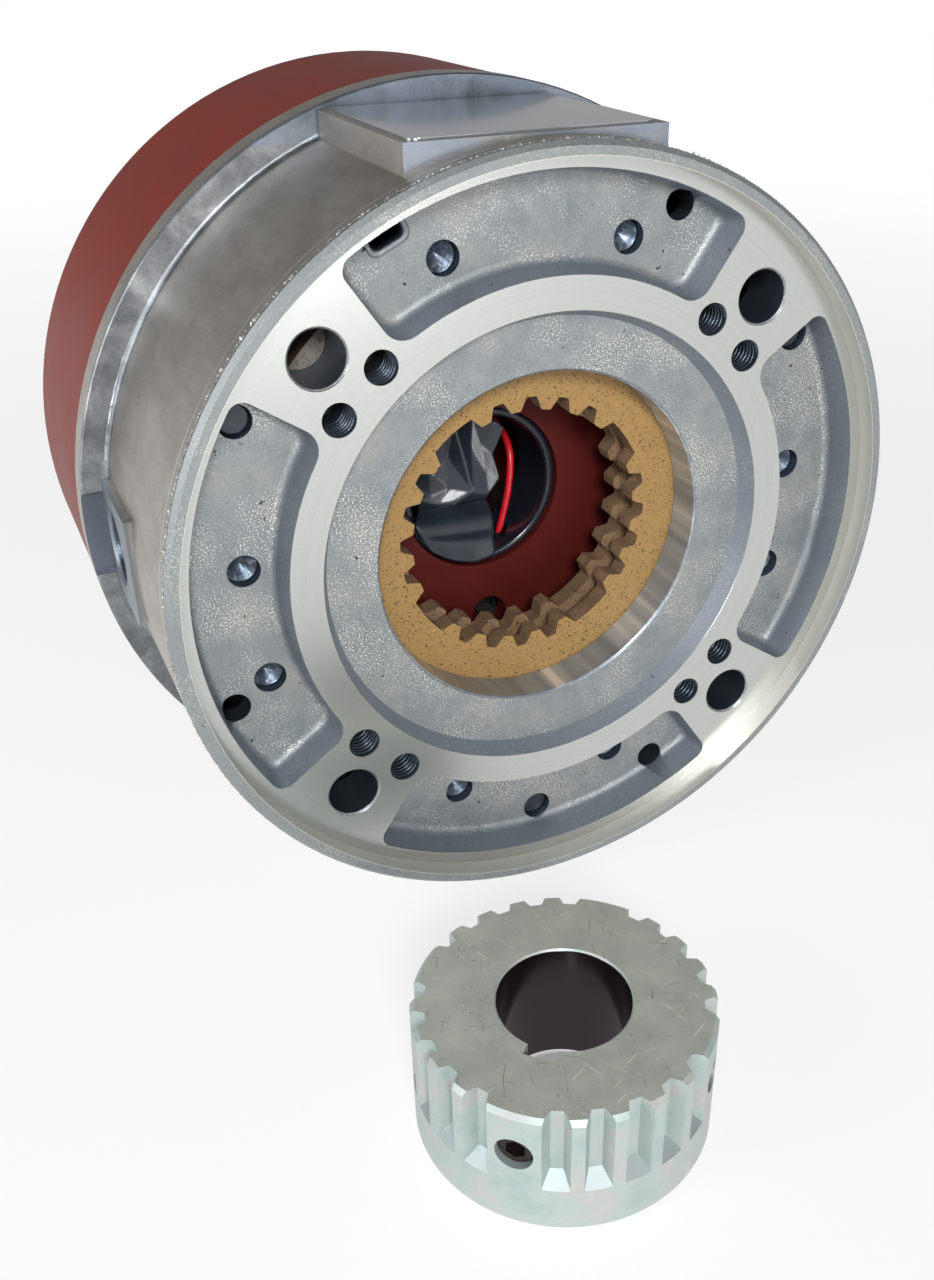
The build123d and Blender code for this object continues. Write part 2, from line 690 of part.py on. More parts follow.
# Cutter for one groove of the hub: the disc tooth's shape with clearance, and a sloping run-out
hub_top = hub_z + hub_length
groove_root_r = disc_tip_r - spline_tip_gap
with BuildPart() as groove_core:
    tip_angle = disc_tip_half_angle + spline_side_gap
    root_angle = disc_root_half_angle + spline_side_gap
    with BuildSketch(Plane.XY.offset(hub_z)):
        with BuildLine():
            Polyline(polar(groove_root_r, -tip_angle), polar(disc_root_r, -root_angle),
                     polar(disc_root_r, root_angle), polar(groove_root_r, tip_angle), close=True)
        make_face()
    extrude(amount=hub_length + overrun)
    # Wedge left standing below the end of the groove
    with BuildSketch(Plane.XZ):
        with BuildLine():
            Polyline((groove_root_r - overrun, hub_z), (hub_r + overrun, hub_z),
                     (hub_r + overrun, hub_z + groove_stop),
                     (groove_root_r - overrun,
                      hub_z + groove_stop + (hub_r + 2 * overrun - groove_root_r)
                      / tan(radians(groove_runout_angle))), close=True)
        make_face()
    extrude(amount=disc_root_r, both=True, mode=Mode.SUBTRACT)

with BuildPart() as hub:
    with BuildSketch(Plane.XY.offset(hub_z)):
        with Locations((hub_x, hub_y)):
            Circle(hub_r)
    extrude(amount=hub_length)
    chamfer(edges().filter_by(GeomType.CIRCLE), hub_rim_chamfer)
    groove_angles = [hub_phase + i * spline_pitch for i in range(spline_pitch_count)
                     if i % spline_skip_every]
    with Locations(*[Location((hub_x, hub_y, 0), (0, 0, angle)) for angle in groove_angles]):
        add(groove_core.part, mode=Mode.SUBTRACT)
    with BuildSketch(Plane.XY.offset(hub_z)):
        with Locations((hub_x, hub_y)):
            Circle(hub_bore_r)
    extrude(amount=hub_length, mode=Mode.SUBTRACT)
    bore_rims = edges().filter_by(lambda e: e.geom_type == GeomType.CIRCLE
                                  and abs(e.radius - hub_bore_r) < hub_bore_chamfer / 4)
    chamfer(bore_rims, hub_bore_chamfer)
    with BuildSketch(Plane.XY.offset(hub_z)):
        with Locations(Location((hub_x, hub_y, 0), (0, 0, hub_phase))):
            with Locations(((hub_bore_r + keyway_depth) / 2, 0)):
                Rectangle(hub_bore_r + keyway_depth, keyway_width)
    extrude(amount=hub_length, mode=Mode.SUBTRACT)
    for angle in set_screw_angles:
        x, y = polar(1, hub_phase + angle)
        with BuildSketch(Plane(origin=(hub_x, hub_y, hub_z + set_screw_height),
                               x_dir=(0, 0, 1), z_dir=(x, y, 0))):
            Circle(set_screw_r + thread_clearance)
        extrude(amount=hub_r, mode=Mode.SUBTRACT)
hub.part.label = "hub"
export_step(hub.part, "parts/hub.step")

with BuildPart() as hub_set_screws:
    # Socket set screws, one over the keyway and one a quarter turn from it
    for angle in set_screw_angles:
        x, y = polar(hub_r - set_screw_setback, hub_phase + angle)
        face = Plane(origin=(hub_x + x, hub_y + y, hub_z + set_screw_height),
                     x_dir=(0, 0, 1), z_dir=(x, y, 0))
        with BuildSketch(face):
            Circle(set_screw_r)
        extrude(amount=-set_screw_length)
        chamfer(edges(Select.LAST).filter_by(GeomType.CIRCLE), set_screw_chamfer)
        with BuildSketch(face):
            RegularPolygon(set_screw_socket / 2, 6, major_radius=False)
        extrude(amount=-set_screw_socket_depth, mode=Mode.SUBTRACT)
hub_set_screws.part.label = "hub_set_screws"
export_step(hub_set_screws.part, "parts/hub_set_screws.step")
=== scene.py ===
import math

import bmesh
import bpy
from mathutils import Matrix, Vector


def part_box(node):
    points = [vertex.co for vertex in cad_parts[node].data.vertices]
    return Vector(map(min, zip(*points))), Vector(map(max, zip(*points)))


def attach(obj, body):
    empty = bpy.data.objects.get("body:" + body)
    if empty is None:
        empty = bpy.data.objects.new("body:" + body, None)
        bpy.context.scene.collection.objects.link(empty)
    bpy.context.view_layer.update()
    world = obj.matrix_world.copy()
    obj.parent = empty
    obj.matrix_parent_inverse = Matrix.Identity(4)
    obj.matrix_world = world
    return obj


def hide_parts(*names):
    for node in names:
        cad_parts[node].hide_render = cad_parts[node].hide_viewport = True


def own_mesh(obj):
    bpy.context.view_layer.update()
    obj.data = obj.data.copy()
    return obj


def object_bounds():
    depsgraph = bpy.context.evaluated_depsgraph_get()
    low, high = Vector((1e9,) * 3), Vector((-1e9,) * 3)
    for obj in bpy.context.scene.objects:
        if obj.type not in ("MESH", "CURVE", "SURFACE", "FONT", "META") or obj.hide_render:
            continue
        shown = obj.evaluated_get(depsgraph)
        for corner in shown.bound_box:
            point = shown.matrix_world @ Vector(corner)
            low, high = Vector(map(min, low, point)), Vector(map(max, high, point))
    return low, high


# Motor brake. The metre-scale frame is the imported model: Y runs into the brake, Z is up, and the
# origin is the centre of the register on the mounting land.
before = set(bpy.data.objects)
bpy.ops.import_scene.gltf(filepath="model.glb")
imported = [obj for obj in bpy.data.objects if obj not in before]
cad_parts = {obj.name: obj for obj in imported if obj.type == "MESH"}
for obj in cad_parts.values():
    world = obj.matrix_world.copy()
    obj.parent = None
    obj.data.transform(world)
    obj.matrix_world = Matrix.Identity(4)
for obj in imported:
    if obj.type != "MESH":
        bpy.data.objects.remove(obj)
cad_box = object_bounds()
scene = bpy.context.scene


# Studio
# The brake lies on its rear ridge and the hub stands on its end, on one pale sheet that runs far
# back. The key lamp is in front, up on the left; a low card in front puts the sheen on the turned
# faces. The room is pale at eye level and darker overhead, and white where it is seen directly.
def linear(code):
    """sRGB hex colour, such as #8a9094, as the linear colour that nodes take."""
    channels = [int(code[i:i + 2], 16) / 255 for i in (1, 3, 5)]
    return (*[c / 12.92 if c <= 0.04045 else ((c + 0.055) / 1.055) ** 2.4 for c in channels], 1.0)


def add_node(tree, kind, inputs=None, stops=(), **settings):
    """One node. An input is a value, a hex colour, or the node or socket that feeds it; stops fill a ramp."""
    made = tree.nodes.new(kind)
    for name, value in settings.items():
        setattr(made, name, value)
    for name, value in (inputs or {}).items():
        if isinstance(name, int):
            entry = made.inputs[name]
        else:
            entry = next(socket for socket in made.inputs if socket.enabled and socket.name == name)
        if isinstance(value, bpy.types.Node):
            value = next(socket for socket in value.outputs if socket.enabled)
        if isinstance(value, bpy.types.NodeSocket):
            tree.links.new(value, entry)
        else:
            entry.default_value = linear(value) if isinstance(value, str) else value
    if stops:
        marks = made.color_ramp.elements
        marks[0].position, marks[1].position = stops[0][0], stops[-1][0]
        for position, code in stops[1:-1]:
            marks.new(position)
        for mark, (position, code) in zip(marks, stops):
            mark.color = linear(code)
    return made


def start_material(name):
    """A named material, its tree, and the object coordinates that its patterns read."""
    material = bpy.data.materials.new(name)
    material.use_nodes = True
    tree = material.node_tree
    tree.nodes.clear()
    return material, tree, add_node(tree, "ShaderNodeTexCoord").outputs["Object"]


camera_place = Vector((-0.15178, -0.2971, 0.15965))
camera_right = Vector((0.9044, -0.4266, -0.0063))
camera_up = Vector((0.2192, 0.4519, 0.8647))
camera_back = camera_right.cross(camera_up).normalized()
camera = bpy.data.objects.new("camera", bpy.data.cameras.new("camera"))
scene.collection.objects.link(camera)
camera.matrix_world = Matrix.Translation(camera_place) @ Matrix(
    (camera_right, camera_back.cross(camera_right), camera_back)).transposed().to_4x4()
camera.data.sensor_width = 36.0
camera.data.lens = 36.0
camera.data.shift_x = -0.0364
camera.data.shift_y = 0.0102
camera.data.clip_start = 0.01
scene.camera = camera
scene.view_settings.view_transform = "Standard"

floor_z = cad_box[0][2]
floor_half = 6.0
floor_mesh = bpy.data.meshes.new("floor")
floor_corners = [(x * floor_half, y * floor_half, floor_z) for x, y in ((-1, -1), (1, -1), (1, 1), (-1, 1))]
floor_mesh.from_pydata(floor_corners, [], [(0, 1, 2, 3)])
floor = bpy.data.objects.new("floor", floor_mesh)
scene.collection.objects.link(floor)
# White background paper. Seen directly or in a reflection it is nearly white near the brake, where
# the shadow still shows, and pure white from 1.4 m out; it lights the object as plain paper.
paper, tree, place = start_material("white_paper")
plain = add_node(tree, "ShaderNodeBsdfPrincipled", {"Base Color": "#f2f2f1", "Roughness": 0.9})
away = add_node(tree, "ShaderNodeVectorMath", {0: place}, operation="LENGTH")
whiten = add_node(tree, "ShaderNodeMapRange", {
    "Value": away, "From Min": 0.25, "From Max": 1.4, "To Min": 0.75, "To Max": 1.0},
    interpolation_type="SMOOTHSTEP")
# Inside the hub's bore no light reaches the paper, so it shows only as far as it is lit
hub_axis = (-0.0394, -0.0856)
from_hub = add_node(tree, "ShaderNodeVectorMath", {0: place, 1: (*hub_axis, floor_z)}, operation="DISTANCE")
shade = add_node(tree, "ShaderNodeMapRange", {"Value": from_hub, "From Min": 0.0165, "From Max": 0.0185,
                                              "To Min": 0.4, "To Max": 1.0})
whiten = add_node(tree, "ShaderNodeMath", {0: whiten, 1: shade}, operation="MULTIPLY")
path = add_node(tree, "ShaderNodeLightPath").outputs
straight = add_node(tree, "ShaderNodeMath", {0: path["Is Camera Ray"], 1: path["Is Glossy Ray"]},
                    operation="MAXIMUM")
straight = add_node(tree, "ShaderNodeMath", {0: straight, 1: path["Is Transmission Ray"]},
                    operation="MAXIMUM")
share = add_node(tree, "ShaderNodeMath", {0: straight, 1: whiten}, operation="MULTIPLY")
glow = add_node(tree, "ShaderNodeEmission", {"Color": "#ffffff", "Strength": 1.0})
seen_paper = add_node(tree, "ShaderNodeMixShader", {0: share, 1: plain, 2: glow})
add_node(tree, "ShaderNodeOutputMaterial", {"Surface": seen_paper})
floor_mesh.materials.append(paper)

world = bpy.data.worlds.new("pale_room")
world.use_nodes = True
scene.world = world
tree = world.node_tree
tree.nodes.clear()
ray = add_node(tree, "ShaderNodeTexCoord").outputs["Generated"]
height = add_node(tree, "ShaderNodeSeparateXYZ", {"Vector": ray}).outputs["Z"]
room = add_node(tree, "ShaderNodeValToRGB", {"Fac": height}, stops=((0.05, "#f8f8f8"), (0.85, "#4c4d4e")))
room_light = add_node(tree, "ShaderNodeBackground", {"Color": room, "Strength": 0.5})
backdrop = add_node(tree, "ShaderNodeBackground", {"Color": "#ffffff", "Strength": 1.0})
seen = add_node(tree, "ShaderNodeLightPath").outputs["Is Camera Ray"]
surround = add_node(tree, "ShaderNodeMixShader", {0: seen, 1: room_light, 2: backdrop})
add_node(tree, "ShaderNodeOutputWorld", {"Surface": surround})

for name, place, aim, size, power in (
        ("key_lamp", (-0.42, -1.2, 0.72), (0.0, 0.0, 0.0), 0.32, 20.0),
        ("low_card", (0.2, -1.25, 0.02), (-0.03, 0.0, 0.03), 0.24, 2.6),
        ("side_lamp", (-1.0, -0.15, 0.35), (0.0, 0.03, 0.0), 0.45, 5.0)):
    lamp = bpy.data.objects.new(name, bpy.data.lights.new(name, "AREA"))
    scene.collection.objects.link(lamp)
    lamp.data.size = size
    lamp.data.energy = power
    lamp.location = place
    lamp.rotation_euler = (Vector(aim) - Vector(place)).to_track_quat("-Z", "Y").to_euler()


# Mounting housing
# A die-cast aluminium ring. The casting's skin is grey and sandy, and shows in the pockets, on the
# barrel and on the flange; the mounting land, the register, the recess step and the bore are turned.
def finish_material(tree, **values):
    """Ends a material with its shader; each value or node feeds the socket that it names."""
    named = {name.replace("_", " "): value for name, value in values.items()}
    add_node(tree, "ShaderNodeOutputMaterial", {"Surface": add_node(tree, "ShaderNodeBsdfPrincipled", named)})


def dress(material, *nodes):
    """Gives CAD nodes their finish."""
    for node in nodes:
        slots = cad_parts[node].data.materials
        slots.clear()
        slots.append(material)


def from_line(tree, place, keep, point=(0.0, 0.0, 0.0)):
    """Distance from the line through a point along the one axis where keep is 0."""
    flat = add_node(tree, "ShaderNodeVectorMath", {0: place, 1: keep}, operation="MULTIPLY")
    return add_node(tree, "ShaderNodeVectorMath", {0: flat, 1: point}, operation="DISTANCE")


def region(tree, *ranges):
    """1 where each value lies between its low and its high edge, and 0 elsewhere."""
    masks = [add_node(tree, "ShaderNodeMath", {0: value, 1: (low + high) / 2, 2: (high - low) / 2},
                      operation="COMPARE") for value, low, high in ranges]
    return shared(tree, *masks)


def shared(tree, first, *others):
    """The part that several masks share: their product."""
    for other in others:
        first = add_node(tree, "ShaderNodeMath", {0: first, 1: other}, operation="MULTIPLY")
    return first


def painted(tree, base, *coats, data_type="RGBA"):
    """A colour or another measure under coats, laid in turn, each given as its mask and its tone."""
    for mask, tone in coats:
        base = add_node(tree, "ShaderNodeMix", {"Factor": mask, "A": base, "B": tone}, data_type=data_type)
    return base


def flecks(tree, place, size, low, high):
    """Irregular spots of about the given size, where fine noise rises from low to high."""
    fine = add_node(tree, "ShaderNodeTexNoise", {"Vector": place, "Scale": 1 / size, "Detail": 2.0,
                                                 "Roughness": 0.6})
    return add_node(tree, "ShaderNodeMapRange", {"Value": fine, "From Min": low, "From Max": high})


# Edges of the casting's regions in metres, a little outside or inside the faces that they part
far = 1.0
conduit_side_x = -0.1
register_r = 0.10795
turned_play = 0.00015
barrel_r = 0.1085
barrel_y = -0.0046
lip_r = 0.1081
lip_y = -0.0034
bore_r = 0.0513
hole_field = (0.0525, 0.106)
land_y = 0.0002
hole_y = 0.0004
pocket_back_y = 0.0107
flange_wall_y = (0.0691, 0.0727)
pad_wall_z = 0.104
notch_y = (0.0712, 0.0727)
notch_half = 0.0142
boss_x = -0.1119
boss_y = 0.0708
boss_half = 0.0172
conduit_y = 0.0575
conduit_r = 0.0109
bolt_hole = ((0.0651, 0.0651, 0.0), 0.0076)
tapped_hole = ((0.0608, 0.0489, 0.0), 0.0047)

cast_metal, tree, place = start_material("cast_and_turned_aluminium")
across, depth, up = add_node(tree, "ShaderNodeSeparateXYZ", {"Vector": place}).outputs
facing = add_node(tree, "ShaderNodeTexCoord").outputs["Normal"]
facing_y = add_node(tree, "ShaderNodeSeparateXYZ", {"Vector": facing}).outputs["Y"]
radius = from_line(tree, place, (1.0, 0.0, 1.0))
# Noise scales are one over the size in metres: blotches in the skin 14 mm across with finer ones of 2 mm,
# and a sandy grain, drawn at 0.5 mm so that it shows
blotches = add_node(tree, "ShaderNodeTexNoise", {"Vector": place, "Scale": 70.0, "Detail": 4.0,
                                                 "Roughness": 0.6})
fine_blotches = add_node(tree, "ShaderNodeTexNoise", {"Vector": place, "Scale": 420.0, "Detail": 3.0,
                                                      "Roughness": 0.7})
grain = add_node(tree, "ShaderNodeTexNoise", {"Vector": place, "Scale": 2000.0, "Detail": 3.0,
                                              "Roughness": 0.75})
skin = add_node(tree, "ShaderNodeValToRGB", {"Fac": blotches},
                stops=((0.28, "#7b8183"), (0.5, "#888d8f"), (0.72, "#969793")))
skin = add_node(tree, "ShaderNodeMix", {"Factor": 0.18, "A": skin, "B": fine_blotches},
                data_type="RGBA", blend_type="OVERLAY")
# The pocket walls and fillets, faces that do not face along the axis, are smoother than the floors and
# painted bluer: a painted cool reflection
frontal = add_node(tree, "ShaderNodeMath", {0: facing_y}, operation="ABSOLUTE")
sloped = add_node(tree, "ShaderNodeMapRange", {"Value": frontal, "From Min": 0.35, "From Max": 0.9,
                                               "To Min": 0.75, "To Max": 0.0})
# Painted glints stand in for crystals on the skin catching the light: creamy flecks 0.5 mm across, crowded
# in patches of 20 mm, mostly on the floors. A few dark pits are the narrow peaks of noise 3 mm across
patches = add_node(tree, "ShaderNodeTexNoise", {"Vector": place, "Scale": 48.0, "Detail": 3.0,
                                                "Roughness": 0.6})
crowd = add_node(tree, "ShaderNodeMapRange", {"Value": patches, "From Min": 0.44, "From Max": 0.6,
                                              "To Min": 0.08, "To Max": 1.0})
level = add_node(tree, "ShaderNodeMapRange", {"Value": sloped, "From Max": 0.75,
                                              "To Min": 1.0, "To Max": 0.15})
painted_glints = shared(tree, flecks(tree, place, 0.0005, 0.54, 0.64), crowd, level, 0.9)
pits = flecks(tree, place, 0.0028, 0.72, 0.74)
# Outside, the barrel is smoother, with a warm brown-grey stain in streaks 9 mm wide and 20 mm long, which
# run along the draw
outside = region(tree, (radius, barrel_r, far), (depth, barrel_y, far))
along = add_node(tree, "ShaderNodeMapping", {"Vector": place, "Scale": (1.0, 0.45, 1.0)})
streaks = add_node(tree, "ShaderNodeTexNoise", {"Vector": along, "Scale": 110.0, "Detail": 5.0,
                                                "Roughness": 0.7, "Distortion": 0.2})
stain = add_node(tree, "ShaderNodeValToRGB", {"Fac": streaks},
                 stops=((0.3, "#948e87"), (0.5, "#a39e97"), (0.7, "#b0aca6")))
# Pale flecks 1.2 mm across on the barrel are painted glints
stain = painted(tree, stain, (flecks(tree, place, 0.0012, 0.7, 0.78), "#d6d3cc"))
# The lip is plainer; the flange's front wall is stained darker, with pale watery patches 13 mm across
lip = region(tree, (radius, lip_r, far), (depth, -far, lip_y))
flange_wall = shared(tree, region(tree, (depth, *flange_wall_y)), outside)
water = add_node(tree, "ShaderNodeTexNoise", {"Vector": place, "Scale": 75.0, "Detail": 5.0, "Roughness": 0.7,
                                              "Distortion": 0.3})
watery = add_node(tree, "ShaderNodeValToRGB", {"Fac": water},
                  stops=((0.34, "#64686c"), (0.48, "#7c8084"), (0.58, "#909498"), (0.68, "#aaadb0")))
# The pad's front wall is painted bluish in places, a painted reflection; the boss is greyer; and the milled
# notch beside it is painted darker, painted shade in the recess
pad_front = region(tree, (up, pad_wall_z, far), (facing_y, -1.1, -0.7))
pad_patches = add_node(tree, "ShaderNodeMapRange", {"Value": water, "From Min": 0.35, "From Max": 0.6,
                                                    "To Min": 0.2, "To Max": 0.85})
notch = region(tree, (across, -far, conduit_side_x), (depth, *notch_y), (up, -notch_half, notch_half))
boss = region(tree, (across, -far, boss_x), (depth, -far, boss_y), (up, -boss_half, boss_half))
# Painted light on the skin: the cool reflection on sloped faces, the glints, the pad front's bluish
# reflection and the notch's shade; pits, stains, lip and boss are the metal's own tones
skin = painted(tree, skin, (sloped, "#838c99"), (painted_glints, "#ebe8e0"), (pits, "#2c2e31"), (outside, stain),
               (shared(tree, lip, 0.65), "#8b9090"), (flange_wall, watery),
               (shared(tree, pad_front, outside, pad_patches), "#8792a3"),
               (shared(tree, notch, 0.9), "#6d7480"), (shared(tree, boss, 0.9), "#848d93"))
grainy = add_node(tree, "ShaderNodeMix", {"Factor": 0.3, "A": skin, "B": grain},
                  data_type="RGBA", blend_type="OVERLAY")
# Turned faces: the land at zero depth, the register wall outside it, and the bore within
land = region(tree, (depth, -land_y, land_y))
register = region(tree, (radius, register_r - turned_play, register_r + turned_play))
bore = region(tree, (radius, -far, bore_r))
# Hole walls: folding the four quarters onto one puts every bolt hole and tapped hole in one place
side = add_node(tree, "ShaderNodeMath", {0: across}, operation="ABSOLUTE")
rise = add_node(tree, "ShaderNodeMath", {0: up}, operation="ABSOLUTE")
longer = add_node(tree, "ShaderNodeMath", {0: side, 1: rise}, operation="MAXIMUM")
shorter = add_node(tree, "ShaderNodeMath", {0: side, 1: rise}, operation="MINIMUM")
folded = add_node(tree, "ShaderNodeCombineXYZ", {"X": longer, "Y": shorter})
in_field = (radius, *hole_field)
holes = [region(tree, (depth, pocket_back_y, far), in_field)]
for centre, rim in (bolt_hole, tapped_hole):
    away = add_node(tree, "ShaderNodeVectorMath", {0: folded, 1: centre}, operation="DISTANCE")
    holes.append(region(tree, (away, -far, rim), (depth, hole_y, far), in_field))
conduit_way = from_line(tree, place, (0.0, 1.0, 1.0), (0.0, conduit_y, 0.0))
holes.append(region(tree, (conduit_way, -far, conduit_r), (across, -far, conduit_side_x)))
# The tool's rings, drawn 1.1 mm apart on the land and 0.7 mm apart on the walls so that they show
rings = add_node(tree, "ShaderNodeTexNoise", {"W": radius, "Scale": 900.0, "Detail": 1.0},
                 noise_dimensions="1D")
depth_rings = add_node(tree, "ShaderNodeTexNoise", {"W": depth, "Scale": 1500.0, "Detail": 2.0},
                       noise_dimensions="1D")
# The bore wall has pale and dark streaks along its whole depth, 10 mm wide with finer ones between:
# painted reflections on the turned bore
drawn_out = add_node(tree, "ShaderNodeMapping", {"Vector": place, "Scale": (1.0, 0.03, 1.0)})
bore_streak_noise = add_node(tree, "ShaderNodeTexNoise", {"Vector": drawn_out, "Scale": 95.0, "Detail": 3.0,
                                                "Roughness": 0.6})
painted_bore_streaks = add_node(tree, "ShaderNodeValToRGB", {"Fac": bore_streak_noise},
                     stops=((0.36, "#8a94a1"), (0.5, "#a2adba"), (0.6, "#bdc6d1"), (0.68, "#eef1f5")))
bright = painted(tree, "#c6cbd1", (land, "#c2c4c1"), (register, "#c6c5be"), (bore, painted_bore_streaks))
lined = add_node(tree, "ShaderNodeMix", {
    "Factor": painted(tree, 0.12, (land, 0.05), data_type="FLOAT"), "A": bright,
    "B": painted(tree, depth_rings, (land, rings))}, data_type="RGBA", blend_type="OVERLAY")
cast_bump = add_node(tree, "ShaderNodeBump", {"Strength": 0.45, "Distance": 0.0002, "Height": grain})
turn_bump = add_node(tree, "ShaderNodeBump", {"Strength": 0.02, "Distance": 0.00002, "Height": rings})
turned = (land, register, bore)
# The skin is dull, the barrel and the register are between, and turned and drilled faces shine most
# The hole walls are painted dark blue-grey, #6a7684: painted shade inside the holes
finish_material(
    tree,
    Base_Color=painted(tree, grainy, *[(face, lined) for face in turned],
                       *[(wall, "#6a7684") for wall in holes]),
    Roughness=painted(tree, 0.5, (outside, 0.3965), (register, 0.3965), (notch, 0.316),
                      *[(face, 0.27) for face in (land, bore, *holes)], data_type="FLOAT"),
    Metallic=painted(tree, 0.6, (bore, 0.698), *[(face, 0.88) for face in (outside, land, *holes)],
                     data_type="FLOAT"),
    Normal=painted(tree, cast_bump, *[(face, turn_bump) for face in turned], data_type="VECTOR"))
dress(cast_metal, "mounting_housing")


# Threads, hole bottoms, slot mouth and flash
# Details of the same casting: the thread cut in the tapped holes and the conduit entry, the drill points
# at the bottom of the cored holes, the slot's rounded mouth and the broken flash left along the rim.
def new_tree(name, **sockets):
    """An empty geometry tree with named inputs, given as (socket type, value), and its two end nodes."""
    tree = bpy.data.node_groups.new(name, "GeometryNodeTree")
    tree.interface.new_socket("Geometry", in_out="INPUT", socket_type="NodeSocketGeometry")
    tree.interface.new_socket("Geometry", in_out="OUTPUT", socket_type="NodeSocketGeometry")
    for label, (kind, value) in sockets.items():
        tree.interface.new_socket(label, in_out="INPUT", socket_type=kind).default_value = value
    return tree, tree.nodes.new("NodeGroupInput").outputs, tree.nodes.new("NodeGroupOutput")


def stamp(tree, given, shape, lean):
    """The shape on every point of the piece, turned by the lean."""
    turn = add_node(tree, "FunctionNodeEulerToRotation", {"Euler": lean})
    return add_node(tree, "GeometryNodeInstanceOnPoints", {"Points": given["Geometry"], "Instance": shape,
                                                           "Rotation": turn})


def end_tree(tree, given, result, pattern):
    """Ends a tree: the pattern becomes one plain mesh in the given finish."""
    solid = add_node(tree, "GeometryNodeRealizeInstances", {"Geometry": pattern})
    ended = add_node(tree, "GeometryNodeSetMaterial", {"Geometry": solid, "Material": given["Finish"]})
    tree.links.new(ended.outputs["Geometry"], result.inputs["Geometry"])


def grow(name, tree, body, slot, points=(), **values):
    """Runs a tree on points, keeps its result as a plain mesh, and lets it ride on its body."""
    mesh = bpy.data.meshes.new(name)
    mesh.from_pydata(points, [], [])
    piece = bpy.data.objects.new(name, mesh)
    scene.collection.objects.link(piece)
    work = piece.modifiers.new("pattern", "NODES")
    work.node_group = tree
    for item in tree.interface.items_tree:
        if item.in_out == "INPUT" and item.name in values:
            work[item.identifier] = values[item.name]
    grown = bpy.data.meshes.new_from_object(piece.evaluated_get(bpy.context.evaluated_depsgraph_get()))
    piece.modifiers.clear()
    piece.data = grown
    grown.name = name
    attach(piece, body)
    return piece


def on_circle(radius, angle, depth):
    """A point in metres from a radius in mm, an angle round the brake's axis and a depth in mm."""
    turn = math.radians(angle)
    return (radius * math.cos(turn) / 1000, depth / 1000, radius * math.sin(turn) / 1000)


into_brake = (-math.pi / 2, 0.0, 0.0)
thread_tree, given, result = new_tree(
    "cut_thread", Radius=("NodeSocketFloat", 0.00465), Pitch=("NodeSocketFloat", 0.0016),
    Turns=("NodeSocketFloat", 6.0), Crest=("NodeSocketFloat", 0.00045),
    Lean=("NodeSocketVector", (0.0, 0.0, 0.0)), Finish=("NodeSocketMaterial", None))
length = add_node(thread_tree, "ShaderNodeMath", {0: given["Pitch"], 1: given["Turns"]}, operation="MULTIPLY")
helix = add_node(thread_tree, "GeometryNodeCurveSpiral", {
    "Resolution": 28, "Rotations": given["Turns"], "Start Radius": given["Radius"],
    "End Radius": given["Radius"], "Height": length})
crest = add_node(thread_tree, "GeometryNodeCurvePrimitiveCircle", {"Resolution": 3, "Radius": given["Crest"]})
thread = add_node(thread_tree, "GeometryNodeCurveToMesh", {"Curve": helix, "Profile Curve": crest,
                                                           "Fill Caps": True})
end_tree(thread_tree, given, result, stamp(thread_tree, given, thread, given["Lean"]))
# Cut aluminium, painted dark blue-grey as the shade of a hole, with lighter spots 1.4 mm across
cut_metal, tree, place = start_material("cut_aluminium_thread")
thread_spots = add_node(tree, "ShaderNodeTexNoise", {"Vector": place, "Scale": 700.0, "Detail": 3.0})
finish_material(tree, Base_Color=painted(tree, "#363d47", (thread_spots, "#69737e")), Metallic=0.8, Roughness=0.34)
# The eight tapped holes are in pairs on a circle of 78 mm, 6.2 degrees either side of a bolt hole
grow("tapped_threads", thread_tree, "housing", "cast_aluminium",
     [on_circle(78.0, quarter + side, 0.9) for quarter in (45, 135, 225, 315) for side in (-6.2, 6.2)],
     Lean=into_brake, Finish=cut_metal)
grow("conduit_thread", thread_tree, "housing", "cast_aluminium", [(-0.1123, conduit_y, 0.0)], Radius=0.0105,
     Pitch=0.0018, Turns=3.4, Crest=0.0006, Lean=(0.0, math.pi / 2, 0.0), Finish=cut_metal)

point_tree, given, result = new_tree(
    "drill_point", Radius=("NodeSocketFloat", 0.0046), Depth=("NodeSocketFloat", 0.0028),
    Finish=("NodeSocketMaterial", None))
cone = add_node(point_tree, "GeometryNodeMeshCone", {
    "Vertices": 40, "Side Segments": 4, "Radius Top": 0.0, "Radius Bottom": given["Radius"],
    "Depth": given["Depth"]}, fill_type="NONE")
end_tree(point_tree, given, result, stamp(point_tree, given, cone, into_brake))
# The skin at the bottom of a core pin is crusted, in lumps 2 mm across, and painted dark blue-grey: painted
# shade at the bottom of the holes
core_metal, tree, place = start_material("cored_hole_skin")
crust = add_node(tree, "ShaderNodeTexNoise", {"Vector": place, "Scale": 420.0, "Detail": 4.0,
                                              "Roughness": 0.7, "Distortion": 0.8})
crusted_and_shaded = add_node(tree, "ShaderNodeValToRGB", {"Fac": crust},
                   stops=((0.35, "#3c444e"), (0.52, "#586370"), (0.64, "#8a95a1")))
crust_bump = add_node(tree, "ShaderNodeBump", {"Strength": 0.5, "Distance": 0.0004, "Height": crust})
finish_material(tree, Base_Color=crusted_and_shaded, Metallic=0.75, Roughness=0.36, Normal=crust_bump)
cored_angles = (72.0, 108.0, 5.0, -17.7, 175.0, 197.5, -108.3, -72.0)
cored_circle = 87.5
cored_depth = 14.4
hole_bottoms = grow("cored_hole_bottoms", point_tree, "housing", "cast_aluminium",
                    [on_circle(cored_circle, angle, cored_depth) for angle in cored_angles],
                    Finish=core_metal)
wall = hole_bottoms.modifiers.new("wall", "SOLIDIFY")
wall.thickness = 0.0004

